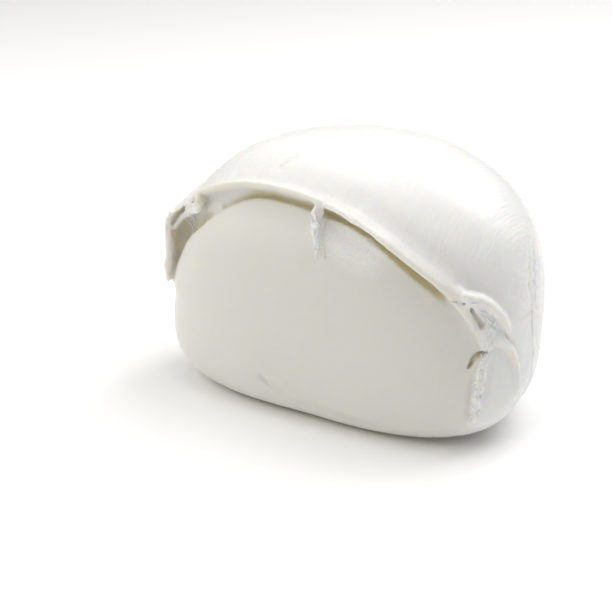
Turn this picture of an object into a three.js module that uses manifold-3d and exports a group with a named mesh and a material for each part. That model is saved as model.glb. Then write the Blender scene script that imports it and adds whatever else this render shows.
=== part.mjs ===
// Mozzarella ball: one lump of stretched curd, torn off by hand and lying on a small flat foot.
//
// Millimetres, +Z up. The origin is the bottom centre of the bounding box, on the foot's plane.
// +X runs along the ball, to the right of someone facing the smooth face, which looks along -Y.
//
// The whole ball is a single solid. A skin was drawn over the lump, and it ends at the top of the
// face in a rolled lip. The lip runs out in a flap at the left end, and at the right end in a
// knot with a torn seam hanging below it. A crevice under the lip opens into a pocket at the flap.

import * as THREE from 'three';
import { mergeVertices } from 'three/addons/utils/BufferGeometryUtils.js';
import Module from 'manifold-3d';

// Reach of the lump from its middle.
const HALF_LENGTH = 47;
const FACE_DEPTH = 24.7;
const BACK_DEPTH = 36.8;
const CROWN_RISE = 31.9;
const BASE_DROP = 31.5; // where the underside would end if the ball did not stand on a foot
const FOOT_DROP = 30.75;

// How the lump is bent: shift back per millimetre of height, and share of thickness lost
// towards the right end and towards the crown.
const LEAN = 0.124;
const RIGHT_TAPER = 0.08;
const CROWN_TAPER = 0.055;

// Fullness of each curve: 2 is an ellipse, and more is squarer. The first two are seen from
// above, and the others from the side. The base is squarest under the face.
const FACE_FULLNESS = 2.85;
const BACK_FULLNESS = 2;
const CROWN_FULLNESS = 2.57;
const BASE_FULLNESS = { face: 4.9, back: 3.25, blend: 12 };

// The face lies lower than the skin just below the lip, and meets it again further down.
const FACE_RECESS = 2.2;
const RECESS_RISE = 1.6;
const RECESS_FADE = 14;

// Rolls, seams and strands: half thickness at right angles to the skin, and half width along it.
const LIP = { thick: 1.5, wide: 1.7 };
const FLAP_TOP = { thick: 3.6, wide: 1.8 };
const FLAP_TIP = { thick: 1.2, wide: 2.2 };
const SEAM_TOP = { thick: 1.2, wide: 1.8 };
const SEAM_TIP = { thick: 0.6, wide: 0.9 };
const STRAND = { thick: 0.9, wide: 1.3 };
const KNOT = { long: 5.2, wide: 3.4, thick: 2.8, droop: 0.6 };
const CREVICE = { thick: 1.2, wide: 0.9 };
const POCKET = { thick: 4, wide: 2.6 };

// Their lines on the skin: distance along the ball, depth, and height above the foot. The
// points only have to lie near the skin, because each line is drawn onto it.
const LIP_LINE = [
  [-46, -13.5, 40], [-38, -14.5, 45.5], [-31, -16, 49.5], [-20, -16.5, 52.5],
  [-5, -17, 52.5], [12, -18, 49.3], [26, -19, 43.2], [39, -16, 37],
];
const FLAP_LINE = [[-45.5, -13, 42], [-47, -15.5, 33], [-46.5, -17, 22]];
const SEAM_LINE = [[44.5, -12, 31], [42.5, -15, 25], [42, -17.3, 17], [41, -17, 6]];
const STRAND_LINE = [[-1, -18, 51], [2, -22, 41.5]];
const CREVICE_LINE = [
  [-31, -19, 45], [-20, -18, 50.3], [-5, -18, 50.8], [12, -18.8, 48],
  [26, -19.3, 41.8], [37, -17.5, 34.5],
];
const POCKET_LINE = [[-46, -16.5, 26], [-42, -16.5, 36.5], [-30, -19, 45]];
const KNOT_PLACE = [41.5, -13.5, 35.5];

const SKIN_DETAIL = 13; // subdivisions of the icosahedron that the lump is drawn from
const RIM_SAMPLES = 48; // points of the lip's line that the face recess is measured from
const STRAND_SIDES = 8;
const STEP = 2.4; // length of one facet along a roll
const END_ROUNDING = 5;

const CURD = { color: 0xf3f1e8, roughness: 0.3, metalness: 0 };

const wasm = await Module();
wasm.setup();

/** Fullness of the underside at a depth, changing smoothly from face to back. */
function baseFullness(depth) {
  const { face, back, blend } = BASE_FULLNESS;
  return THREE.MathUtils.lerp(face, back, 0.5 + 0.5 * Math.tanh(depth / blend));
}

/** Level of a point in the lump: 1 on the skin, less inside it. */
function skinLevel({ x, y, z }) {
  const along = x / HALF_LENGTH;
  const depth = y - LEAN * z;
  const girth = 1 - CROWN_TAPER * z / CROWN_RISE;
  const reach = (depth < 0 ? FACE_DEPTH : BACK_DEPTH) * (1 - RIGHT_TAPER * along);
  const flatwise = depth < 0 ? FACE_FULLNESS : BACK_FULLNESS;
  const upright = z < 0 ? baseFullness(depth) : CROWN_FULLNESS;
  const ring = Math.abs(along / girth) ** flatwise + Math.abs(depth / (reach * girth)) ** flatwise;
  return ring ** (upright / flatwise) + Math.abs(z / (z < 0 ? BASE_DROP : CROWN_RISE)) ** upright;
}

/** The point of the skin in the direction of a point, as seen from the lump's middle. */
function onSkin(point) {
  const direction = point.clone().normalize();
  let inside = 0;
  let outside = 2 * HALF_LENGTH;
  while (outside - inside > 1e-4) {
    const middle = (inside + outside) / 2;
    if (skinLevel(direction.clone().multiplyScalar(middle)) < 1) inside = middle;
    else outside = middle;
  }
  return direction.multiplyScalar(inside);
}

/** A place given with its height above the foot, as a point measured from the middle. */
function place([x, y, height]) {
  return new THREE.Vector3(x, y, height - FOOT_DROP);
}

/** A smooth line on the skin through the places given. */
function lineOnSkin(places) {
  const rough = new THREE.CatmullRomCurve3(places.map(place));
  const count = Math.ceil(rough.getLength() / STEP);
  return new THREE.CatmullRomCurve3(rough.getSpacedPoints(count).map(onSkin));
}

/** Depth of the face below the skin at a point of the skin. */
function faceRecess(point, rim) {
  const nearest = rim.reduce((best, other) =>
    (point.distanceTo(other) < point.distanceTo(best) ? other : best));
  const isFace = point.z < nearest.z && point.y < 0;
  if (!isFace) return 0;
  const gap = point.distanceTo(nearest);
  return FACE_RECESS * (1 - Math.exp(-gap / RECESS_RISE)) * Math.exp(-gap / RECESS_FADE);
}

/** The lump with its face set back under the lip, not yet cut flat. */
function lumpGeometry() {
  const rim = lineOnSkin(LIP_LINE).getSpacedPoints(RIM_SAMPLES);
  const geometry = new THREE.IcosahedronGeometry(1, SKIN_DETAIL);
  const vertices = geometry.attributes.position;
  for (let i = 0; i < vertices.count; i += 1) {
    const skin = onSkin(new THREE.Vector3().fromBufferAttribute(vertices, i));
    skin.setLength(skin.length() - faceRecess(skin, rim));
    vertices.setXYZ(i, skin.x, skin.y, skin.z);
  }
  return geometry;
}

/**
 * A roll of curd lying along a line on the skin. Its rings are a sphere's, spread along the line,
 * so both of its ends are closed. size(t) gives its half thickness and half width.
 */
function rollGeometry(line, size) {
  const length = line.getLength();
  const geometry = new THREE.SphereGeometry(1, STRAND_SIDES, Math.max(6, Math.ceil(length / STEP)));
  const vertices = geometry.attributes.position;
  for (let i = 0; i < vertices.count; i += 1) {
    const unit = new THREE.Vector3().fromBufferAttribute(vertices, i);
    const t = Math.acos(THREE.MathUtils.clamp(unit.y, -1, 1)) / Math.PI;
    const fromEnd = Math.min(1, Math.min(t, 1 - t) * length / END_ROUNDING);
    const roundness = Math.sqrt(1 - (1 - fromEnd) ** 2);
    const turn = Math.atan2(unit.z, unit.x);
    const centre = line.getPointAt(t);
    const outward = centre.clone().normalize();
    const sideways = new THREE.Vector3().crossVectors(line.getTangentAt(t), outward).normalize();
    const { thick, wide } = size(t);
    centre.addScaledVector(outward, thick * roundness * Math.cos(turn));
    centre.addScaledVector(sideways, wide * roundness * Math.sin(turn));
    vertices.setXYZ(i, centre.x, centre.y, centre.z);
  }
  return geometry;
}

/** The thick end of the lip at the right, bent down over the seam. */
function knotGeometry() {
  const geometry = new THREE.SphereGeometry(1, 2 * STRAND_SIDES, STRAND_SIDES);
  geometry.scale(KNOT.long, KNOT.thick, KNOT.wide);
  geometry.rotateY(KNOT.droop);
  const centre = onSkin(place(KNOT_PLACE));
  geometry.translate(centre.x, centre.y, centre.z);
  return geometry;
}

/** A closed solid from a geometry, whichever way its triangles are wound. */
function solid(geometry) {
  geometry.deleteAttribute('normal');
  geometry.deleteAttribute('uv');
  const merged = mergeVertices(geometry, 1e-4);
  const corners = Array.from(merged.index.array);
  const triVerts = [];
  for (let i = 0; i < corners.length; i += 3) {
    const [a, b, c] = corners.slice(i, i + 3);
    if (a !== b && b !== c && c !== a) triVerts.push(a, b, c);
  }
  const vertProperties = merged.attributes.position.array;
  const wound = (order) => new wasm.Manifold(new wasm.Mesh({
    numProp: 3, vertProperties, triVerts: new Uint32Array(order),
  }));
  const made = wound(triVerts);
  return made.volume() > 0 ? made : wound(triVerts.reverse());
}

/** A roll whose size changes evenly from its start to its end. */
function roll(places, start, end = start) {
  return solid(rollGeometry(lineOnSkin(places), (t) => ({
    thick: THREE.MathUtils.lerp(start.thick, end.thick, t),
    wide: THREE.MathUtils.lerp(start.wide, end.wide, t),
  })));
}

/** A roll that swells to its full size half way along, and has a fine point at each end. */
function spindle(places, { thick, wide }) {
  return solid(rollGeometry(lineOnSkin(places), (t) => {
    const swelling = Math.sin(Math.PI * t);
    return { thick: thick * swelling, wide: wide * swelling };
  }));
}

/** Everything above the foot. */
function aboveFoot() {
  const side = 4 * HALF_LENGTH;
  const block = new THREE.BoxGeometry(side, side, side);
  block.translate(0, 0, side / 2 - FOOT_DROP);
  return solid(block);
}

function mozzarellaSolid() {
  return solid(lumpGeometry())
    .subtract(roll(CREVICE_LINE, CREVICE))
    .subtract(spindle(POCKET_LINE, POCKET))
    .add(roll(LIP_LINE, LIP))
    .add(roll(FLAP_LINE, FLAP_TOP, FLAP_TIP))
    .add(solid(knotGeometry()))
    .add(roll(SEAM_LINE, SEAM_TOP, SEAM_TIP))
    .add(roll(STRAND_LINE, STRAND))
    .intersect(aboveFoot());
}

/** The finished solid as a geometry, with the origin at the bottom centre of its box. */
function partGeometry(made) {
  const { vertProperties, triVerts } = made.getMesh();
  const geometry = new THREE.BufferGeometry();
  geometry.setAttribute('position', new THREE.BufferAttribute(vertProperties, 3));
  geometry.setIndex(new THREE.BufferAttribute(triVerts, 1));
  geometry.computeBoundingBox();
  const { min, max } = geometry.boundingBox;
  geometry.translate(-(min.x + max.x) / 2, -(min.y + max.y) / 2, -min.z);
  geometry.computeVertexNormals();
  return geometry;
}

const ball = new THREE.Mesh(
  partGeometry(mozzarellaSolid()),
  new THREE.MeshStandardMaterial(CURD),
);
ball.name = 'mozzarella_ball';

const part = new THREE.Group();
part.add(ball);

export default part;
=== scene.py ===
"""Looks of a hand-torn mozzarella ball.

The curd is sculpted as a distance field around the same rounded lump as the CAD solid, with the
rolled lip of skin, the flap, the knot, the torn seam and the gaps under them, and meshed in one
piece. The loose fibres on its torn places are a second piece. Sculpt lengths are in ball
millimetres, measured from the lump's middle, with +X along the ball, -Y the way the face looks
and +Z up. The foot is FOOT_DROP below the middle.
"""
import itertools
import math

import bpy
import numpy as np
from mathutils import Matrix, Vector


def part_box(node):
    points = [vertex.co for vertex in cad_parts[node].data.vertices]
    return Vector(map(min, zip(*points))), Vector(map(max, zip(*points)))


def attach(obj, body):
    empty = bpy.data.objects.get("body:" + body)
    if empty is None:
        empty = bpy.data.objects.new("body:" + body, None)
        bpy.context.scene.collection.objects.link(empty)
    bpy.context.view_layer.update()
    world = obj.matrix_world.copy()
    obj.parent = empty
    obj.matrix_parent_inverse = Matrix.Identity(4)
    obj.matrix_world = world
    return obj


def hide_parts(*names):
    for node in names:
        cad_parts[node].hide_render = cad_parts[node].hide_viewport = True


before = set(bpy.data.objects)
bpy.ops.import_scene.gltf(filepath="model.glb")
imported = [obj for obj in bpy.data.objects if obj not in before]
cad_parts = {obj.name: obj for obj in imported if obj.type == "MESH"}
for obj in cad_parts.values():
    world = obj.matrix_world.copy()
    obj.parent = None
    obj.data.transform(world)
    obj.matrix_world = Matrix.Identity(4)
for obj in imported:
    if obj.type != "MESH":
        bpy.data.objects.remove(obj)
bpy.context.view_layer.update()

import openvdb
from mathutils import Vector

NODE = "mozzarella_ball"
PIECE = "mozzarella_curd"
MOST_TRIANGLES = 175000

# The skin's base is painted whiter than the face's, as painted light for the brighter light on the
# top of the ball.
CURD_PAINTED_LIT_WHITE = (0.87, 0.87, 0.86, 1)
CURD_CREAM = (0.80, 0.79, 0.75, 1)
# Torn curd's paler white. On the torn places and the wet patch beside the strand it is also a
# painted highlight.
CURD_TORN_AND_HIGHLIGHT = (0.93, 0.93, 0.92, 1)
# Painted shade: the olive tint of the gaps, hollows and foot, where shade falls.
CURD_PAINTED_SHADE = (0.72, 0.65, 0.44, 1)

FACE_ROUGHNESS = 0.36
SKIN_ROUGHNESS = (0.22, 0.30)   # from one end of the mottling to the other
WET_ROUGHNESS = 0.12
FIBRE_ROUGHNESS = 0.18
CURD_IOR = 1.38
LIGHT_SINKS_IN = 0.8            # share of the light that scatters inside the curd
SCATTER_RADIUS = (1.0, 0.8, 0.5)
SCATTER_SCALE = 0.0015
# Scales of the noises, in lumps per metre.
MOTTLE_SCALE = 60.0
GRAIN_SCALE = 1500.0
DROPLET_SCALE = 1200.0
# Scale of the streaks' noise along the ball and around it, in lumps per ball millimetre.
STREAK_STRETCH = (2.2, 0.12, 1)
# Heights of the bumps, in metres.
GRAIN_BUMP = 0.00003
STREAK_BUMP = 0.0002
SHEEN_BUMP = 0.0006
TORN_BUMP = 0.00015

CAMERA_AZIMUTH = 33.94
CAMERA_ELEVATION = 22.95
CAMERA_LENS = 100
CAMERA_SENSOR = 36
# How far the camera is from what it looks at, and how far that is to the left of the lump's
# middle and below it in the picture, in ball millimetres.
CAMERA_DISTANCE = 415
LOOK_LEFT = 13.3
LOOK_BELOW = 7.8
WORLD_COLOUR = (1.0, 0.985, 0.95, 1)
WORLD_STRENGTH = 0.22
# Softboxes, as (name, azimuth, elevation, distance, size, power, colour).
SOFTBOXES = [
    ("top", -146, 75, 0.6, 0.5, 1.35, (1.0, 1.0, 1.0)),
    ("back", 160, 52, 0.7, 0.5, 3.2, (0.99, 0.99, 1.0)),
    ("right", 80, 60, 0.6, 0.4, 0.5, (1.0, 1.0, 1.0)),
    ("left", -70, 35, 0.6, 0.4, 0.95, (1.0, 0.99, 0.97)),
    ("front", -20, 45, 0.7, 0.4, 1.1, (1.0, 0.97, 0.9)),
]
FLOOR_SIZE = 6.0
FLOOR_COLOUR = (0.93, 0.93, 0.93, 1)
FLOOR_ROUGHNESS = 0.5
FLOOR_GLOW_COLOUR = (1.0, 0.95, 0.86, 1)
FLOOR_GLOW = 0.03

# The lump, as in the CAD.
HALF_LENGTH = 47.0
FACE_DEPTH = 24.7
BACK_DEPTH = 36.8
CROWN_RISE = 31.9
BASE_DROP = 31.5
FOOT_DROP = 30.75
LEAN = 0.124
RIGHT_TAPER = 0.08
CROWN_TAPER = 0.055
FACE_FULLNESS = 2.85
BACK_FULLNESS = 2.0
CROWN_FULLNESS = 2.57
BASE_FULLNESS = {"face": 4.9, "back": 3.25, "blend": 12.0}

# Metres of one ball millimetre, and the lump's middle, both from the CAD solid's own box.
LOW, HIGH = (np.array(corner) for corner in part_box(NODE))
UNIT = float(HIGH[2] - LOW[2]) / (FOOT_DROP + CROWN_RISE)
MIDDLE_BACK_OF_CENTRE = -4.7
MIDDLE = (LOW + HIGH) / 2
MIDDLE[1] += MIDDLE_BACK_OF_CENTRE * UNIT
MIDDLE[2] = LOW[2] + FOOT_DROP * UNIT

# Meshing
STEP = 0.42  # size of a grid cell
BAND = 3 * STEP      # distances are worked out to this far from the surface
GRID_MARGIN = 7.0    # room around the lump for the flap, the lip and the knot
WORKED_BACK_TO = 4   # everything rolled, and the flap, knot and seam, lies in front of this depth
WORKED_DEPTH = 7.0   # there the curd is sculpted this far from the plain lump
PLAIN_DEPTH = 3.0    # and behind it, only this far
FOOT_EDGE = 1.2      # rounding of the edge of the foot
LINE_STEP = 1.0      # between samples of a line on the skin
LINE_CHUNK = 40000   # points compared with a line at a time
SOFT_STRIDE = 2      # the soft distance skips to every so many samples of a line
SOFT_CORE = 1.0      # sizes along a line are told apart no finer than this
SEED = 11

UNDULATIONS = [(0.45, 26, 1), (0.16, 11, 2), (0.03, 4, 3)]  # as (height, size, seed)
RECESS_START = 1.2   # the face is set back over about this far below the lip
RECESS_FADE = 11.0   # and comes forward again over about this far
RISE_FADE = 8.0      # the skin falls away from the lip over about this far
RISE_END = 15.5      # and is plain beyond this
FRONT_ENDS = (2, -8)       # the face's half of the ball fades out between these depths
RIM_REACH = 7.0      # the lip and the gap lie within this of the rim
LIP_RIPPLE = 0.12    # share that the lip's width varies by
FACE_FILLET = 0.4    # rounding between the lip and the face
KNOT_TORN = (12.5, 14.5)   # the rim grows ragged between these stations, towards the knot
FLAP_TORN = (3.6, 2.4)     # and between these, towards the flap
FLAP_TORN_SHARE = 0.8
LIP_WARP = 0.08      # how far the raggedness moves the smooth lip
TORN_WARP = 0.35     # and how much further where it is torn
STRIP_REACH = 6.0    # strips are worked out within this of their line's box
TORN_GRAIN = 1.3     # size of the raggedness
FIBRE_HEIGHT = 0.03  # of the fine ridges in the skin
FIBRE_END_GROWTH = 3       # how much more they stand out at the right end
FIBRE_END = (30, 44)       # the part of the length over which they grow
FOOT_SHADE_HEIGHT = 1.6    # painted shade: the curd is tinted olive this far up from the floor
FOOT_SHADE_SHARE = 0.8
PAINTED_SHADE_DEPTHS = (0.2, 2.2) # painted shade: curd this far inside the closed shape goes from untinted to fully shade-tinted
POCKET_LIGHT = 0.5   # share of the painted shade taken off in the pocket, where light gets in
SKIN_EDGE = (-1.0, 2.0)    # the face turns into skin between these offsets from the rim


# ---------------------------------------------------------------- small helpers

def smooth(low, high, value):
    """0 below low, 1 above high, and an even ease between."""
    part = np.clip((value - low) / (high - low), 0, 1)
    return part * part * (3 - 2 * part)


def mix(start, end, share):
    return start + (end - start) * share


def noise(points, size, seed):
    """Smooth noise from -1 to 1 with lumps about size across. A size may differ by axis."""
    period = 32
    table = np.random.default_rng(SEED + seed).uniform(-1, 1, (period,) * 3).astype(np.float32)
    grid = points / np.asarray(size, dtype=np.float32)
    cell = np.floor(grid).astype(np.int32)
    part = (grid - cell).astype(np.float32)
    part = part * part * (3 - 2 * part)
    total = np.zeros(len(points), dtype=np.float32)
    for corner in itertools.product((0, 1), repeat=3):
        index = (cell + corner) % period
        weight = np.ones(len(points), dtype=np.float32)
        for axis, high in enumerate(corner):
            weight *= part[:, axis] if high else 1 - part[:, axis]
        total += weight * table[index[:, 0], index[:, 1], index[:, 2]]
    return total


def smooth_union(one, other, radius):
    """The nearer of two distances, with a fillet of about the radius."""
    share = np.clip(0.5 + 0.5 * (other - one) / radius, 0, 1)
    return mix(other, one, share) - radius * share * (1 - share)


def smooth_cut(solid, cutter, radius):
    """The solid's distance with the cutter taken away."""
    return -smooth_union(-solid, cutter, radius)


# ---------------------------------------------------------------- the lump

def lump_ratio(points):
    """Size of each point against the skin in the same direction: 1 on the skin."""
    x, y, z = points[:, 0], points[:, 1], points[:, 2]
    along = x / HALF_LENGTH
    depth = y - LEAN * z
    girth = 1 - CROWN_TAPER * z / CROWN_RISE
    reach = np.where(depth < 0, FACE_DEPTH, BACK_DEPTH) * (1 - RIGHT_TAPER * along)
    flatwise = np.where(depth < 0, FACE_FULLNESS, BACK_FULLNESS)
    to_back = 0.5 + 0.5 * np.tanh(depth / BASE_FULLNESS["blend"])
    base = mix(BASE_FULLNESS["face"], BASE_FULLNESS["back"], to_back)
    upright = np.where(z < 0, base, CROWN_FULLNESS)
    ring = np.abs(along / girth) ** flatwise + np.abs(depth / (reach * girth)) ** flatwise
    height = np.abs(z) / np.where(z < 0, BASE_DROP, CROWN_RISE)
    return (ring ** (upright / flatwise) + height ** upright) ** (1 / upright)


def lump_slope(points):
    """Gradient of the lump's ratio."""
    reach = 0.05
    here = lump_ratio(points)
    steps = (reach * np.eye(3)).astype(np.float32)
    return np.stack([(lump_ratio(points + step) - here) / reach for step in steps], axis=1)


def lump_distance(points):
    return (lump_ratio(points) - 1) / np.linalg.norm(lump_slope(points), axis=1)


# ---------------------------------------------------------------- lines on the skin

def spline(places, count):
    """A Catmull-Rom curve through the places, count samples to a stretch."""
    ends = [2 * places[0] - places[1], *places, 2 * places[-1] - places[-2]]
    samples = []
    for before, start, end, after in zip(ends, ends[1:], ends[2:], ends[3:]):
        for t in np.arange(count) / count:
            samples.append(0.5 * (
                2 * start + (end - before) * t
                + (2 * before - 5 * start + 4 * end - after) * t ** 2
                + (3 * start - before - 3 * end + after) * t ** 3))
    return np.array(samples + [places[-1]])


class SkinLine:
    """A line drawn on the lump, with its own frame at every sample.

    Places are (x, y, height above the foot), near the skin. A station counts places along the
    line, so station 2.5 is half way between the third place and the fourth.
    """

    def __init__(self, places):
        rough = np.array(places, dtype=float) - [0, 0, FOOT_DROP]
        longest = np.linalg.norm(np.diff(rough, axis=0), axis=1).max()
        count = max(2, math.ceil(longest / LINE_STEP))
        curve = spline(list(rough), count)
        self.points = (curve / lump_ratio(curve)[:, None]).astype(np.float32)
        self.stations = (np.arange(len(curve)) / count).astype(np.float32)
        slope = lump_slope(self.points)
        self.outward = (slope / np.linalg.norm(slope, axis=1)[:, None]).astype(np.float32)
        run = np.gradient(self.points, axis=0)
        run -= self.outward * np.sum(run * self.outward, axis=1)[:, None]
        self.along = run / np.linalg.norm(run, axis=1)[:, None]
        self.across = np.cross(self.outward, self.along)

    def locate(self, points):
        """Station, height out of the skin, offset across the line, and reach past its ends."""
        starts = range(0, max(len(points), 1), LINE_CHUNK)
        parts = [self._locate(points[start:start + LINE_CHUNK]) for start in starts]
        return [np.concatenate(column) for column in zip(*parts)]

    def _locate(self, points):
        squares = np.sum(self.points ** 2, axis=1)
        nearest = np.argmin(squares - points @ (2 * self.points.T), axis=1)
        offset = points - self.points[nearest]
        run = np.sum(offset * self.along[nearest], axis=1)
        out = np.sum(offset * self.outward[nearest], axis=1)
        across = np.sum(offset * self.across[nearest], axis=1)
        spacing = np.linalg.norm(np.diff(self.points, axis=0), axis=1).mean()
        per_station = 1 / (self.stations[1] - self.stations[0])
        first, last = nearest == 0, nearest == len(self.points) - 1
        beyond = np.where(first, np.maximum(-run, 0), np.where(last, np.maximum(run, 0), 0))
        inside = np.clip(run, -spacing / 2, spacing / 2)
        station = np.clip(self.stations[nearest] + inside / spacing / per_station,
                          0, self.stations[-1])
        return station, out, across, beyond

    def soften(self, points, *tables):
        """Distance from the line, and sizes along it, without a crease where two stretches of
        the line are as near as each other."""
        few = slice(None, None, SOFT_STRIDE)
        sizes = np.array([by_station(self.stations[few], table) for table in tables])
        starts = range(0, max(len(points), 1), LINE_CHUNK)
        parts = [self._soften(points[start:start + LINE_CHUNK], self.points[few], sizes)
                 for start in starts]
        return [np.concatenate(column) for column in zip(*parts)]

    def _soften(self, points, samples, sizes):
        squares = np.sum(points ** 2, axis=1)[:, None] + np.sum(samples ** 2, axis=1)
        squares -= points @ (2 * samples.T)
        np.maximum(squares, SOFT_CORE ** 2, out=squares)
        weight = 1 / squares ** 2
        weight *= weight
        total = weight.sum(axis=1)
        distance = np.sqrt(np.sum(weight * squares, axis=1) / total)
        return [distance, *((weight @ sizes.T).T / total)]

    def near(self, points, reach):
        """Which points lie within reach of the line's box."""
        low = self.points.min(axis=0) - reach
        high = self.points.max(axis=0) + reach
        return np.all((points > low) & (points < high), axis=1)


def oval(out, across, beyond, thick, wide):
    """Distance to a rounded strip: half thickness out of the skin, half width along it."""
    side = np.hypot(across, beyond)
    size = np.hypot(out / thick, side / wide)
    slope = np.hypot(out / thick ** 2, side / wide ** 2) / np.maximum(size, 1e-6)
    return (size - 1) / np.maximum(slope, 1e-6)


# ---------------------------------------------------------------- where everything lies

# Many places are as a projection of the photographed ball onto the lump gave them, and the
# others were chosen near such places.

# The rim runs round the face: up the flap, over the face under the lip, and down the seam.
RIM = SkinLine([
    (-46.1, -16.7, 23.2),   # 0 tip of the flap
    (-46.5, -15.8, 31.0),
    (-46.7, -14.4, 38.0),   # 2 top of the flap
    (-44.4, -12.8, 41.8),
    (-38.6, -13.8, 46.4),   # 4 end of the lip
    (-32.4, -15.3, 49.4),
    (-21.3, -16.1, 52.8),   # 6
    (-10.0, -16.5, 53.5),
    (0.0, -17.0, 52.7),     # 8
    (9.4, -17.8, 50.8),
    (18.0, -18.5, 47.7),    # 10
    (26.1, -18.6, 43.7),
    (32.3, -17.9, 40.2),    # 12 root of the knot
    (37.4, -16.9, 35.8),
    (40.3, -16.0, 30.7),    # 14 foot of the knot
    (42.6, -15.2, 25.5),
    (42.3, -16.4, 20.5),    # 16
    (42.2, -17.3, 14.8),
    (41.7, -17.4, 8.5),     # 18 tip of the seam
])
# Sizes along the rim, as (station, millimetres).
LIP_THICK = [(0, 0.8), (0.3, 1.1), (1.7, 1.2), (2, 1.0), (2.5, 0.6), (3.5, 0.5), (4, 1.2), (5, 1.5),
             (7, 1.3), (12, 1.3), (12.6, 1.0), (13.2, 0.7), (14, 0.4), (18, 0.3)]
LIP_WIDE = [(0, 1.0), (0.4, 1.4), (2, 1.4), (2.6, 2.0), (3, 1.8), (3.6, 0.9), (6, 0.85), (10, 0.95),
            (12, 1.2), (13.2, 1.2), (14, 0.8), (15, 0.5), (18, 0.4)]
LIP_LIFT = [(0, 2.4), (1, 3.05), (1.7, 3.9), (2, 4.4), (2.5, 4.0), (3, 2.5), (3.5, 0.7), (4, 0.5),
            (6, 0.6), (8, 0.6), (10, 1.0), (12, 0.9), (13.2, 0.4), (14, 0.0), (18, 0)]
LIP_FILLET = [(0, 0.6), (3, 0.6), (5, 0.8), (7, 1.2), (9, 2.0), (12, 2.0), (14, 1.5), (18, 1.0)]
RECESS = [(0, -1.3), (0.6, -1.0), (1, 0.0), (1.5, 1.2), (2, 2.0), (4, 3.8), (6, 4.6), (9, 4.6),
          (12, 3.6), (14, 1.6), (16, 1.0), (18, 0.3)]
SKIN_RISE = [(0, 2.8), (1, 4.4), (1.7, 6.6), (2, 8.0), (2.5, 7.5), (2.8, 5.8), (3, 4.0), (3.6, 1.3),
             (4, 0.6), (6, 0.4), (8, 1.0), (10, 1.6), (12, 1.5), (13, 0.9), (14, 0.5), (18, 0.3)]

VALLEY = [(8, 0.0), (9.5, 0.2), (11, 0.4), (13, 0.5), (14, 0.0)]
VALLEY_OFFSET = 4.2
VALLEY_WIDTH = 1.8

# The gap under the lip, from its left end to the foot of the knot.
GAP = SkinLine([
    (-30.6, -17.7, 46.9), (-20.6, -17.0, 51.5), (-9.5, -17.5, 52.1), (0.0, -17.8, 51.3),
    (9.9, -18.4, 49.4), (18.5, -19.3, 45.7), (26.6, -19.4, 41.2), (31.5, -18.8, 38.0),
    (35.8, -18.0, 34.4),
])
GAP_DEEP = [(0, 3.0), (2, 2.8), (4, 2.6), (6, 3.0), (7, 2.6), (8, 1.0)]
GAP_WIDE = [(0, 1.2), (1, 1.0), (3, 1.0), (5, 1.3), (6, 1.4), (7, 1.3), (8, 0.6)]
GAP_LIFT = [(0, -0.8), (3, -1.4), (4, -1.7), (5, -2.0), (6, -2.0), (7, -1.6), (8, -0.4)]
GAP_ROUNDING = 0.6

# The pocket between the flap and the face, from its lower tip to where it meets the gap.
POCKET = SkinLine([
    (-44.0, -15.6, 26.4), (-43.6, -14.8, 30.9), (-43.0, -14.2, 35.6), (-38.5, -16.4, 40.6),
    (-33.1, -17.6, 45.1), (-26.4, -17.3, 49.6),
])
POCKET_DEEP = [(0, 0.4), (1, 1.3), (2, 3.0), (3, 3.6), (4, 3.2), (5, 2.8)]
POCKET_WIDE = [(0, 0.5), (1, 1.8), (2, 3.0), (3, 3.0), (4, 2.2), (5, 1.2)]
POCKET_LIFT = [(0, 1.2), (1, 0.5), (2, 0.4), (4, 0.2), (5, 0.0)]
POCKET_REACH = 6.0   # light finds its way in this near the pocket, so less shade is painted there

# The fold of skin across the top of the flap, and the small hole above it.
FLAP_FOLD = SkinLine([
    (-43.3, -13.4, 36.8), (-43.1, -13.0, 38.6), (-41.4, -13.7, 41.2), (-36.9, -16.2, 43.9),
])
FLAP_FOLD_LIFT = [(0, 2.6), (1, 1.8), (2, 0.4), (3, 0.2)]
FLAP_HOLE = SkinLine([(-43.1, -13.8, 37.6), (-42.8, -13.2, 39.4), (-42.3, -12.8, 41.3)])
FLAP_HOLE_LIFT = [(0, 3.3), (1, 2.7), (2, 1.5)]
LIP_END = SkinLine([(-39.6, -12.2, 46.3), (-37.4, -14.6, 46.0), (-36.7, -16.0, 44.2)])

# The knot where the lip was pinched off.
KNOT_RIDGE = SkinLine([
    (36.2, -16.6, 38.5), (38.3, -15.8, 37.3), (40.8, -14.1, 36.8), (43.0, -12.5, 34.8),
    (44.9, -10.6, 31.6), (45.7, -9.8, 29.0),
])
KNOT_RIDGE_THICK = [(0, 0.6), (1, 1.2), (3, 1.1), (4, 0.8), (5, 0.3)]
KNOT_RIDGE_WIDE = [(0, 0.8), (1, 1.3), (2, 1.1), (3, 1.0), (5, 0.6)]
KNOT_BLOB = SkinLine([(37.4, -16.1, 38.0), (38.8, -15.3, 37.6)])
KNOT_SHEET = SkinLine([(39.2, -15.4, 36.2), (42.3, -13.6, 33.2), (43.2, -13.6, 28.6)])
KNOT_HOLE = SkinLine([(39.1, -15.9, 35.1), (40.3, -15.4, 33.2), (41.6, -14.8, 31.1)])
KNOT_HOLE_WIDE = [(0, 0.3), (1, 0.55), (2, 0.85)]
KNOT_PIT = SkinLine([(35.3, -17.6, 36.9), (36.5, -17.0, 36.6), (37.9, -16.3, 36.4)])

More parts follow.
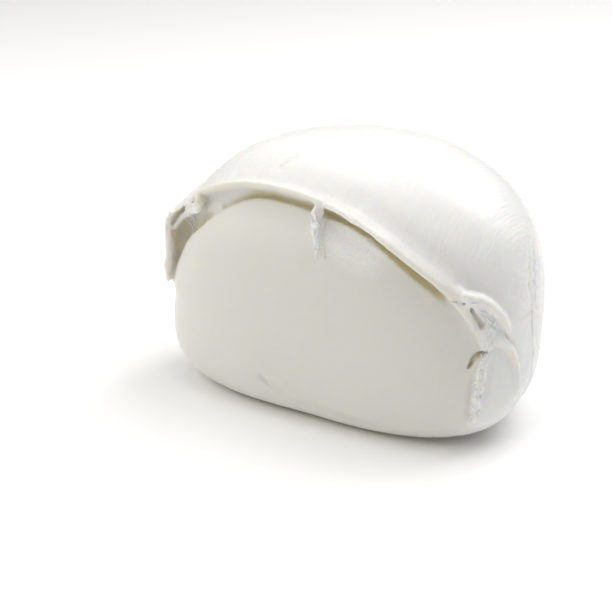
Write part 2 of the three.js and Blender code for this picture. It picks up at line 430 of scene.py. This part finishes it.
# The torn seam below the knot.
SEAM = SkinLine([
    (43.0, -13.9, 29.3), (43.0, -14.4, 26.6), (42.9, -15.1, 23.9), (42.5, -16.1, 20.9),
    (42.4, -16.9, 17.4), (42.2, -17.3, 14.1), (41.5, -17.4, 8.5),
])
SEAM_THICK = [(0, 0.8), (2, 1.1), (4, 1.0), (5, 0.9), (6, 0.4)]
SEAM_WIDE = [(0, 1.2), (1, 0.9), (3, 0.9), (5, 0.8), (6, 0.4)]
SEAM_SIDE = SkinLine([
    (41.6, -16.3, 23.6), (41.2, -17.2, 20.6), (41.0, -18.0, 17.2), (40.9, -18.3, 14.0),
    (40.4, -18.2, 10.0),
])
SEAM_TEAR = SkinLine([(40.2, -17.8, 21.3), (41.3, -16.6, 23.6), (43.0, -14.9, 25.0)])
SEAM_TEAR_WIDE = [(0, 0.4), (1, 0.95), (2, 0.5)]

# The wet strand under the lip, with its crack, and the dimple below it.
STRAND = SkinLine([
    (-0.6, -18.4, 50.8), (-0.4, -19.3, 48.8), (0.4, -20.4, 46.4), (1.4, -21.5, 43.6),
    (2.3, -22.3, 41.3),
])
STRAND_THICK = [(0, 0.8), (1, 0.6), (3, 0.4), (4, 0.3)]
STRAND_WIDE = [(0, 1.6), (1, 1.2), (2, 0.9), (4, 0.6)]
STRAND_CRACK = SkinLine([(0.9, -18.3, 50.4), (1.3, -19.5, 48.2), (2.1, -20.7, 45.4)])
STRAND_SLIT = SkinLine([(0.9, -21.9, 43.2), (2.4, -21.8, 43.1)])
DIMPLE = SkinLine([(-0.2, -22.8, 39.4), (1.6, -22.8, 39.2)])
SHEEN = SkinLine([(2.6, -19.8, 48.0), (8.0, -19.8, 47.0), (14.0, -20.2, 45.0)])
SHEEN_REACH = 8.0

SHOULDER_CREASE = SkinLine([
    (45.4, -10.6, 28.2), (46.6, -8.6, 25.4), (47.4, -6.9, 21.0), (47.5, -6.0, 14.5),
])
SHOULDER_WELT = SkinLine([
    (44.6, -11.6, 27.6), (46.0, -9.4, 25.0), (46.9, -7.8, 20.8), (47.1, -7.0, 14.5),
])
SHOULDER_STREAKS = [
    SkinLine([(42.6, 5.2, 46.2), (44.9, 1.2, 41.8), (46.3, -0.8, 36.6), (46.9, -0.6, 31.0)]),
    SkinLine([(43.8, 5.4, 44.0), (45.9, 2.2, 38.4), (46.9, 1.6, 32.0), (46.9, 3.0, 27.3)]),
]
CROWN_CREASES = [
    SkinLine([(-39.6, -9.6, 48.0), (-36.8, -5.6, 51.6), (-32.4, -1.6, 55.2)]),
    SkinLine([(-9.5, -4.2, 60.6), (-12.0, -8.0, 59.2), (-14.6, -12.4, 56.6)]),
    SkinLine([(-2.4, -0.6, 61.8), (2.0, -1.4, 61.8), (6.6, 1.0, 62.2)]),
    SkinLine([(3.0, 9.4, 62.4), (5.8, 7.0, 62.6), (7.0, 3.6, 62.6)]),
]
BASE_FOLDS = [
    SkinLine([(-10.1, -27.7, 9.8), (-7.3, -27.6, 8.1), (-3.9, -27.4, 7.6)]),
    SkinLine([(0.1, -26.6, 4.9), (8.4, -26.2, 5.0), (19.2, -24.7, 4.2)]),
]

GAP_STRIP = ("cut", GAP, GAP_DEEP, GAP_WIDE, GAP_LIFT, GAP_ROUNDING, 0.15)
# Strips of curd added and cut after the lip, in this order, as (what is done, line, half
# thickness, half width, lift out of the skin, rounding, raggedness of its edge).
STRIPS = [
    ("cut", POCKET, POCKET_DEEP, POCKET_WIDE, POCKET_LIFT, 0.7, 0.3),
    ("add", LIP_END, 1.4, 0.8, 0.2, 0.5, 0.1),
    ("add", FLAP_FOLD, 0.9, 1.4, FLAP_FOLD_LIFT, 0.5, 0.25),
    ("cut", FLAP_HOLE, 0.6, 1.0, FLAP_HOLE_LIFT, 0.3, 0.15),
    ("add", KNOT_SHEET, 0.8, 2.2, -0.2, 1.2, 0.1),
    ("add", KNOT_RIDGE, KNOT_RIDGE_THICK, KNOT_RIDGE_WIDE, 0.6, 1.4, 0.15),
    ("add", KNOT_BLOB, 0.8, 0.9, 1.2, 0.6, 0.0),
    ("cut", KNOT_HOLE, 1.1, KNOT_HOLE_WIDE, 0.4, 0.5, 0.25),
    ("cut", KNOT_PIT, 1.4, 0.35, 0.0, 0.3, 0.3),
    ("cut", SEAM_SIDE, 0.5, 0.6, 0.0, 0.9, 0.3),
    ("add", SEAM, SEAM_THICK, SEAM_WIDE, 0.7, 0.4, 0.7),
    ("cut", SEAM_TEAR, 2.2, SEAM_TEAR_WIDE, 0.2, 0.3, 0.3),
    ("add", STRAND, STRAND_THICK, STRAND_WIDE, -0.1, 0.9, 0.4),
    ("cut", STRAND_CRACK, 0.8, 0.2, 0.0, 0.3, 0.35),
    ("cut", STRAND_SLIT, 0.8, 0.25, 0.0, 0.3, 0.0),
    ("cut", DIMPLE, 1.1, 2.6, 0.8, 1.6, 0.0),
    ("add", SHOULDER_WELT, 0.6, 0.9, 0.1, 1.6, 0.0),
    ("cut", SHOULDER_CREASE, 0.5, 0.4, 0.0, 0.7, 0.0),
    *[("cut", crease, 0.15, 0.6, 0.0, 0.5, 0.3) for crease in CROWN_CREASES],
    *[("cut", streak, 0.6, 0.22, 0.0, 0.2, 0.3) for streak in SHOULDER_STREAKS],
    *[("cut", fold, 0.15, 0.6, 0.0, 0.9, 0.3) for fold in BASE_FOLDS],
]

# Loose fibres, as (line, count, half width of the patch, lengths, turn from the line, its spread).
FIBRE_PATCHES = [
    (SEAM, 90, 0.9, (1.0, 2.6), 0, 25),
    (KNOT_SHEET, 12, 1.6, (1.5, 3.0), 20, 30),
    (STRAND, 24, 1.2, (1.0, 2.2), 0, 25),
    (FLAP_FOLD, 10, 0.8, (1.5, 3.0), 0, 12),
]
FIBRE_THICKNESS = (0.1, 0.22)
FIBRE_CURL = 0.15        # most that a fibre bends sideways, as a share of its length
FIBRE_BOW = (0.02, 0.22) # how far its middle stands out of the curd
FIBRE_SUNK = 0.2         # how far its ends are buried
FIBRE_SAMPLES = 7
FIBRE_SIDES = 6
FIBRE_TIP = 0.02         # keeps the ends of a fibre from closing to a point
FIBRE_ASIDE = (0.3, -0.8, 0.5)  # sets where the corners round a fibre start
PATH_SEED = 60
THICKNESS_SEED = 100
# Where the curd looks torn, as (line, reach). The material roughens and bumps these places and
# whitens them, a painted highlight over the torn curd's own paler white.
TORN_PLACES = [(SEAM, 2.0), (STRAND, 2.2), (FLAP_FOLD, 1.8)]


def by_station(station, size):
    """A size along a line: one number, or (station, size) pairs to pass through."""
    if np.isscalar(size):
        return size
    stations, sizes = zip(*size)
    return np.interp(station, stations, sizes).astype(np.float32)


# ---------------------------------------------------------------- sculpting

def undulation(points):
    """Slow unevenness of a soft lump that was shaped by hand."""
    return sum(height * noise(points, size, seed) for height, size, seed in UNDULATIONS)


def around_ball(points):
    """Distance along the ball, and distance around it from the top, of every point.

    The distance around jumps straight below the middle, where y is 0. What is drawn with it has
    a thin line there, which shows on the right end of the ball.
    """
    turn = np.arctan2(points[:, 1], points[:, 2])
    place = np.stack([points[:, 0], turn * CROWN_RISE, np.zeros(len(points))], axis=1)
    return place.astype(np.float32)


def fibres(points):
    """Fine ridges round the ball, along which the skin was stretched."""
    place = around_ball(points)
    return noise(place, (1.6, 18, 1), 7) + 0.6 * noise(place, (0.9, 9, 1), 8)


def torn_warp(points, amount):
    """Points moved about by fine noise, which gives whatever is cut there a ragged edge."""
    shift = np.stack([noise(points, TORN_GRAIN, 20 + axis) for axis in range(3)], axis=1)
    return (points + np.reshape(amount, (-1, 1)) * shift).astype(np.float32)


def in_front(points):
    """1 on the half of the ball that the face is on, and 0 behind it."""
    return smooth(*FRONT_ENDS, points[:, 1])


def before_ends(across, beyond):
    """1 beside a line, fading to 0 past its ends."""
    return np.exp(-(beyond / (1 + 0.4 * np.abs(across))) ** 2)


def face_and_skin(points, lump, rim):
    """The lump with its face set back under the lip and its skin swelling towards the lip."""
    station, _, across, beyond = rim
    gap = np.abs(across)
    far, recess, rise = RIM.soften(points, RECESS, SKIN_RISE)
    recess *= (1 - np.exp(-gap / RECESS_START)) * np.exp(-far / RECESS_FADE) * in_front(points)
    rise *= np.exp(-far / RISE_FADE) * smooth(RISE_END, RISE_FADE, far)
    valley = by_station(station, VALLEY) * np.exp(-((across - VALLEY_OFFSET) / VALLEY_WIDTH) ** 2)
    face = smooth(1.0, -1.0, across)
    raised = (rise - valley) * (1 - face)
    return lump + (recess * face - raised) * before_ends(across, beyond)


def add_lip(solid, rim):
    """The rolled edge of the skin."""
    station, out, across, beyond = rim
    ripples = np.stack([station * 3, out * 0, out * 0], axis=1)
    wide = by_station(station, LIP_WIDE) * (1 + LIP_RIPPLE * noise(ripples, 1.0, 5))
    lip = oval(out - by_station(station, LIP_LIFT), across, beyond,
               by_station(station, LIP_THICK), wide)
    fillet = mix(FACE_FILLET, by_station(station, LIP_FILLET), smooth(0.2, 1.6, across))
    return smooth_union(solid, lip, fillet)


def work_strip(solid, points, action, line, thick, wide, lift, fillet, rough):
    """Adds a strip of curd along a line, or cuts a groove or a hole there."""
    use = line.near(points, STRIP_REACH)
    near = points[use]
    if rough:
        near = torn_warp(near, rough)
    station, out, across, beyond = line.locate(near)
    distance = oval(out - by_station(station, lift), across, beyond, by_station(station, thick),
                    by_station(station, wide))
    join = smooth_union if action == "add" else smooth_cut
    solid[use] = join(solid[use], distance, fillet)


def foot_distance(points):
    """Distance below the plane of the foot."""
    return -(points[:, 2] + FOOT_DROP)


def sculpt(points, lump):
    """Distance to the finished curd, and to the same curd with its gaps closed."""
    solid = lump + undulation(points)
    use = RIM.near(points, RISE_END)
    rim = RIM.locate(points[use])
    solid[use] = face_and_skin(points[use], solid[use], rim)
    growth = 1 + FIBRE_END_GROWTH * smooth(*FIBRE_END, points[:, 0])
    solid += FIBRE_HEIGHT * growth * fibres(points)
    closed = solid.copy()

    work_strip(solid, points, *GAP_STRIP)
    close = np.abs(rim[2]) < RIM_REACH
    work = np.flatnonzero(use)[close]
    station = rim[0][close]
    torn = smooth(*KNOT_TORN, station) + FLAP_TORN_SHARE * smooth(*FLAP_TORN, station)
    worked = RIM.locate(torn_warp(points[work], LIP_WARP + TORN_WARP * torn))
    solid[work] = add_lip(solid[work], worked)
    for strip in STRIPS:
        work_strip(solid, points, *strip)
    return solid, closed


# ---------------------------------------------------------------- torn fibres

def surface_near(points, outward):
    """The points moved along their outward directions onto the finished curd."""
    for _ in range(3):
        solid, _ = sculpt(points, lump_distance(points))
        points = points - solid[:, None] * outward
    return points


def fibre_paths(line, count, spread, lengths, lean, lean_spread, seed):
    """Centres of short fibres lying on the curd along a line: count, samples, xyz.

    Each bows out of the curd between two buried ends. Lean is the turn, in degrees, between a
    fibre and the line.
    """
    random = np.random.default_rng(SEED + seed)
    index = random.integers(0, len(line.points), count)
    turn = np.radians(random.normal(lean, lean_spread, count))[:, None]
    aim = np.cos(turn) * line.along[index] + np.sin(turn) * line.across[index]
    side = np.cross(line.outward[index], aim)
    length = random.uniform(*lengths, count)
    aside_by = random.uniform(-spread, spread, count)[:, None]
    middle = line.points[index] + aside_by * line.across[index]
    place = np.linspace(-1, 1, FIBRE_SAMPLES)
    curl = random.uniform(-FIBRE_CURL, FIBRE_CURL, count)
    along = place * length[:, None] / 2
    aside = (1 - place ** 2) * (curl * length)[:, None]
    outward = np.repeat(line.outward[index][:, None], FIBRE_SAMPLES, axis=1)
    paths = middle[:, None] + along[..., None] * aim[:, None] + aside[..., None] * side[:, None]
    flat = surface_near(paths.reshape(-1, 3).astype(np.float32), outward.reshape(-1, 3))
    bow = random.uniform(*FIBRE_BOW, count)[:, None] * (1 - place ** 2) - FIBRE_SUNK * place ** 4
    return flat.reshape(paths.shape) + bow[..., None] * outward


def tube(path, thickness):
    """Vertices and faces of a closed tube round a path, thin at both ends."""
    run = np.gradient(path, axis=0)
    run /= np.linalg.norm(run, axis=1)[:, None]
    side = np.cross(run, FIBRE_ASIDE)
    side /= np.linalg.norm(side, axis=1)[:, None]
    rise = np.cross(run, side)
    samples, sides = len(path), FIBRE_SIDES
    place = np.linspace(-1, 1, samples)
    radius = thickness * np.sqrt(1 + FIBRE_TIP - place ** 2)
    turn = 2 * math.pi * np.arange(sides) / sides
    ring = np.cos(turn)[None, :, None] * side[:, None] + np.sin(turn)[None, :, None] * rise[:, None]
    vertices = (path[:, None] + radius[:, None, None] * ring).reshape(-1, 3)
    faces = []
    for row in range(samples - 1):
        for corner in range(sides):
            after = (corner + 1) % sides
            faces.append((row * sides + corner, row * sides + after,
                          (row + 1) * sides + after, (row + 1) * sides + corner))
    faces.append(tuple(reversed(range(sides))))
    faces.append(tuple((samples - 1) * sides + corner for corner in range(sides)))
    return vertices, faces


def torn_fibres():
    """Vertices and faces of all the loose fibres."""
    vertices, faces = [], []
    count = 0
    for seed, patch in enumerate(FIBRE_PATCHES):
        random = np.random.default_rng(SEED + THICKNESS_SEED + seed)
        for path in fibre_paths(*patch, PATH_SEED + seed):
            corners, sides = tube(path, random.uniform(*FIBRE_THICKNESS))
            vertices.append(corners)
            faces.extend(tuple(count + corner for corner in side) for side in sides)
            count += len(corners)
    return np.concatenate(vertices), faces


# ---------------------------------------------------------------- meshing

def grid_of_points():
    low = np.array([-HALF_LENGTH, -FACE_DEPTH, -FOOT_DROP]) - GRID_MARGIN
    high = np.array([HALF_LENGTH, BACK_DEPTH, CROWN_RISE]) + GRID_MARGIN
    counts = np.ceil((high - low) / STEP).astype(int)
    axes = [low[i] + STEP * np.arange(counts[i]) for i in range(3)]
    grid = np.stack(np.meshgrid(*axes, indexing="ij"), axis=-1).astype(np.float32)
    return grid, low


def curd_surface():
    """Vertices, in ball millimetres, and quads of the finished curd."""
    grid, low = grid_of_points()
    shape = grid.shape[:3]
    points = grid.reshape(-1, 3)
    ratio = lump_ratio(points)
    slope = np.sqrt(sum(g ** 2 for g in np.gradient(ratio.reshape(shape), STEP))).reshape(-1)
    lump = (ratio - 1) / np.maximum(slope, 1e-3)
    is_front = points[:, 1] < WORKED_BACK_TO
    near = np.abs(lump) < np.where(is_front, WORKED_DEPTH, PLAIN_DEPTH)
    field = np.where(lump > 0, BAND, -BAND).astype(np.float32)
    close = points[near]
    solid, _ = sculpt(close, lump[near])
    solid = -smooth_union(-solid, -foot_distance(close), FOOT_EDGE)
    field[near] = np.clip(solid, -BAND, BAND)
    volume = openvdb.FloatGrid(BAND)
    volume.copyFromArray(field.reshape(shape))
    vertices, quads = volume.convertToQuads(isovalue=0.0)
    return vertices * STEP + low, quads


def add_piece(name, vertices, faces):
    """A smooth object in the part's frame, from vertices in ball millimetres."""
    mesh = bpy.data.meshes.new(name)
    mesh.from_pydata((vertices * UNIT + MIDDLE).tolist(), [], faces)
    mesh.shade_smooth()
    piece = bpy.data.objects.new(name, mesh)
    bpy.context.scene.collection.objects.link(piece)
    return piece


def thin_out(piece):
    """Fewer triangles where the curd is smooth."""
    thinner = piece.modifiers.new("thinner", "DECIMATE")
    thinner.ratio = MOST_TRIANGLES / (2 * len(piece.data.polygons))
    bpy.context.view_layer.objects.active = piece
    piece.select_set(True)
    bpy.ops.object.modifier_apply(modifier=thinner.name)


def sculpt_points(mesh):
    """The mesh's vertices in ball millimetres."""
    flat = np.empty(3 * len(mesh.vertices), dtype=np.float32)
    mesh.vertices.foreach_get("co", flat)
    return ((flat.reshape(-1, 3) - MIDDLE) / UNIT).astype(np.float32)


def keep_value(mesh, name, values):
    attribute = mesh.attributes.new(name, "FLOAT", "POINT")
    attribute.data.foreach_set("value", values.astype(np.float32))


def nearness(points, line, reach):
    """1 on a line and 0 further from it than the reach."""
    _, out, across, beyond = line.locate(points)
    return smooth(reach, 0.3 * reach, np.linalg.norm(np.stack([out, across, beyond]), axis=0))


def record_looks(mesh):
    """Marks painted shade in the hollows and at the foot, torn curd, the wet patch and the skin
    above the rim, for the material.
    """
    points = sculpt_points(mesh)
    lump = lump_distance(points)
    _, closed = sculpt(points, lump)
    # Painted shade at the foot, where the curd meets the floor.
    shade_at_foot = FOOT_SHADE_SHARE * smooth(FOOT_SHADE_HEIGHT - FOOT_DROP, -FOOT_DROP, points[:, 2])
    # Painted shade: olive tint deep inside the gaps and hollows, with less of it in the pocket,
    # where light gets in.
    lit = POCKET_LIGHT * nearness(points, POCKET, POCKET_REACH)
    in_gap = smooth(*PAINTED_SHADE_DEPTHS, -closed) * (1 - lit)
    keep_value(mesh, "painted_shade", np.maximum(in_gap, shade_at_foot))
    torn = [nearness(points, line, reach) for line, reach in TORN_PLACES]
    keep_value(mesh, "torn", np.max(torn, axis=0))
    keep_value(mesh, "sheen", nearness(points, SHEEN, SHEEN_REACH))
    _, _, across, beyond = RIM.locate(points)
    beside = smooth(SKIN_EDGE[0] - beyond, SKIN_EDGE[1] + beyond, across)
    keep_value(mesh, "skin", np.maximum(beside, 1 - in_front(points)))
    place = mesh.attributes.new("round", "FLOAT_VECTOR", "POINT")
    place.data.foreach_set("vector", around_ball(points).reshape(-1))


# ---------------------------------------------------------------- material

class Nodes:
    """A material's node tree, built a node at a time."""

    def __init__(self, name):
        self.material = bpy.data.materials.new(name)
        self.material.use_nodes = True
        self.tree = self.material.node_tree
        self.shader = self.tree.nodes["Principled BSDF"]

    def add(self, kind, inputs=(), **settings):
        node = self.tree.nodes.new(kind)
        for name, value in settings.items():
            setattr(node, name, value)
        for socket, value in dict(inputs).items():
            self.give(node.inputs[socket], value)
        return node

    def give(self, socket, value):
        if isinstance(value, bpy.types.NodeSocket):
            self.tree.links.new(value, socket)
        else:
            socket.default_value = value

    def attribute(self, name):
        return self.add("ShaderNodeAttribute", attribute_name=name).outputs["Fac"]

    def ramp(self, value, low, high, to_low=0.0, to_high=1.0):
        inputs = {"Value": value, "From Min": low, "From Max": high, "To Min": to_low,
                  "To Max": to_high}
        return self.add("ShaderNodeMapRange", inputs).outputs["Result"]

    def blend(self, share, start, end):
        """A colour between two. Sockets 6 and 7, and output 2, are the ones for colours."""
        node = self.add("ShaderNodeMix", data_type="RGBA")
        self.give(node.inputs["Factor"], share)
        self.give(node.inputs[6], start)
        self.give(node.inputs[7], end)
        return node.outputs[2]

    def noise(self, place, scale, detail):
        inputs = {"Vector": place, "Scale": scale, "Detail": detail}
        return self.add("ShaderNodeTexNoise", inputs).outputs["Fac"]

    def stretched(self, place, scale):
        node = self.add("ShaderNodeMapping", {"Vector": place, "Scale": scale})
        return node.outputs["Vector"]

    def product(self, one, other):
        return self.maths("MULTIPLY", one, other)

    def larger(self, one, other):
        return self.maths("MAXIMUM", one, other)

    def maths(self, operation, one, other):
        node = self.add("ShaderNodeMath", operation=operation)
        self.give(node.inputs[0], one)
        self.give(node.inputs[1], other)
        return node.outputs[0]

    def bump(self, height, distance, normal=None):
        node = self.add("ShaderNodeBump", {"Height": height, "Distance": distance})
        if normal is not None:
            self.give(node.inputs["Normal"], normal)
        return node.outputs["Normal"]


def curd_material():
    """Moist white curd that light sinks into, with painted shade in its hollows and painted light
    on its skin and torn places.
    """
    nodes = Nodes("curd")
    place = nodes.add("ShaderNodeTexCoord").outputs["Object"]
    painted_shade = nodes.attribute("painted_shade")
    torn = nodes.attribute("torn")
    sheen = nodes.attribute("sheen")
    skin = nodes.attribute("skin")
    wrapped = nodes.add("ShaderNodeAttribute", attribute_name="round").outputs["Vector"]

    mottle = nodes.noise(place, MOTTLE_SCALE, detail=3.0)
    # Painted light: the skin is given a whiter base than the face.
    colour = nodes.blend(skin, CURD_CREAM, CURD_PAINTED_LIT_WHITE)
    # Painted highlight: the wet patch beside the strand is whitened, and the torn places too, over
    # their own paler white.
    colour = nodes.blend(nodes.larger(torn, sheen), colour, CURD_TORN_AND_HIGHLIGHT)
    # Painted shade: the olive tint in the gaps and hollows and at the foot.
    nodes.give(nodes.shader.inputs["Base Color"], nodes.blend(painted_shade, colour, CURD_PAINTED_SHADE))

    streaks = nodes.noise(nodes.stretched(wrapped, STREAK_STRETCH), 1.0, detail=3.0)
    grain = nodes.noise(place, GRAIN_SCALE, detail=2.0)
    droplets = nodes.noise(place, DROPLET_SCALE, detail=1.0)
    normal = nodes.bump(grain, GRAIN_BUMP)
    normal = nodes.bump(nodes.product(streaks, skin), STREAK_BUMP, normal)
    normal = nodes.bump(nodes.product(droplets, sheen), SHEEN_BUMP, normal)
    normal = nodes.bump(nodes.product(droplets, torn), TORN_BUMP, normal)
    nodes.give(nodes.shader.inputs["Normal"], normal)

    skin_roughness = nodes.ramp(mottle, 0.1, 0.9, *SKIN_ROUGHNESS)
    dull = nodes.ramp(skin, 0.0, 1.0, FACE_ROUGHNESS, skin_roughness)
    wet = nodes.larger(sheen, torn)
    roughness = nodes.ramp(wet, 0.0, 1.0, dull, WET_ROUGHNESS)
    nodes.give(nodes.shader.inputs["Roughness"], roughness)

    nodes.give(nodes.shader.inputs["Subsurface Weight"], LIGHT_SINKS_IN)
    nodes.give(nodes.shader.inputs["Subsurface Radius"], SCATTER_RADIUS)
    nodes.give(nodes.shader.inputs["Subsurface Scale"], SCATTER_SCALE)
    nodes.give(nodes.shader.inputs["IOR"], CURD_IOR)
    return nodes.material


def fibre_material():
    """One plain wet white for all the loose fibres."""
    nodes = Nodes("torn curd")
    nodes.give(nodes.shader.inputs["Base Color"], CURD_TORN_AND_HIGHLIGHT)
    nodes.give(nodes.shader.inputs["Roughness"], FIBRE_ROUGHNESS)
    nodes.give(nodes.shader.inputs["IOR"], CURD_IOR)
    return nodes.material


# ---------------------------------------------------------------- stage

def add_floor():
    mesh = bpy.data.meshes.new("floor")
    half = FLOOR_SIZE / 2
    corners = [(-half, -half, 0), (half, -half, 0), (half, half, 0), (-half, half, 0)]
    mesh.from_pydata(corners, [], [(0, 1, 2, 3)])
    floor = bpy.data.objects.new("floor", mesh)
    floor.location.z = LOW[2]
    bpy.context.scene.collection.objects.link(floor)
    nodes = Nodes("floor")
    nodes.give(nodes.shader.inputs["Base Color"], FLOOR_COLOUR)
    nodes.give(nodes.shader.inputs["Roughness"], FLOOR_ROUGHNESS)
    nodes.give(nodes.shader.inputs["Emission Color"], FLOOR_GLOW_COLOUR)
    nodes.give(nodes.shader.inputs["Emission Strength"], FLOOR_GLOW)
    mesh.materials.append(nodes.material)


def place_facing(obj, place, target):
    """Puts an object at a place, its -Z axis towards the target."""
    obj.location = place
    obj.rotation_euler = (Vector(target) - Vector(place)).to_track_quat("-Z", "Y").to_euler()


def around(azimuth, elevation, distance, centre):
    """The point at a distance from the centre; azimuth 0 is in front of the face."""
    turn, rise = math.radians(azimuth), math.radians(elevation)
    direction = Vector((math.sin(turn) * math.cos(rise), -math.cos(turn) * math.cos(rise),
                        math.sin(rise)))
    return Vector(centre) + distance * direction


def add_softbox(name, azimuth, elevation, distance, size, power, colour):
    light = bpy.data.lights.new(name, "AREA")
    light.size = size
    light.energy = power
    light.color = colour
    lamp = bpy.data.objects.new(name, light)
    bpy.context.scene.collection.objects.link(lamp)
    place_facing(lamp, around(azimuth, elevation, distance, MIDDLE), MIDDLE)


def add_world():
    world = bpy.data.worlds.new("studio")
    world.use_nodes = True
    background = world.node_tree.nodes["Background"]
    background.inputs["Color"].default_value = WORLD_COLOUR
    background.inputs["Strength"].default_value = WORLD_STRENGTH
    bpy.context.scene.world = world


def add_camera():
    camera = bpy.data.cameras.new("camera")
    camera.lens = CAMERA_LENS
    camera.sensor_width = CAMERA_SENSOR
    camera.clip_start = 0.01
    obj = bpy.data.objects.new("camera", camera)
    bpy.context.scene.collection.objects.link(obj)
    turn = math.radians(CAMERA_AZIMUTH)
    toward_camera = around(CAMERA_AZIMUTH, CAMERA_ELEVATION, 1, (0, 0, 0))
    right = Vector((math.cos(turn), math.sin(turn), 0))
    up = toward_camera.cross(right)
    aim = Vector(MIDDLE) - UNIT * (LOOK_LEFT * right + LOOK_BELOW * up)
    place_facing(obj, aim + UNIT * CAMERA_DISTANCE * toward_camera, aim)
    bpy.context.scene.camera = obj


def main():
    vertices, quads = curd_surface()
    piece = add_piece(PIECE, vertices, quads.tolist())
    thin_out(piece)
    record_looks(piece.data)
    piece.data.materials.append(curd_material())
    fibre_piece = add_piece("torn_fibres", *torn_fibres())
    fibre_piece.data.materials.append(fibre_material())
    for part in (piece, fibre_piece):
        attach(part, "root")
        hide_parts(NODE)
    add_floor()
    add_world()
    for softbox in SOFTBOXES:
        add_softbox(*softbox)
    add_camera()
    bpy.context.scene.view_settings.view_transform = "Standard"


main()
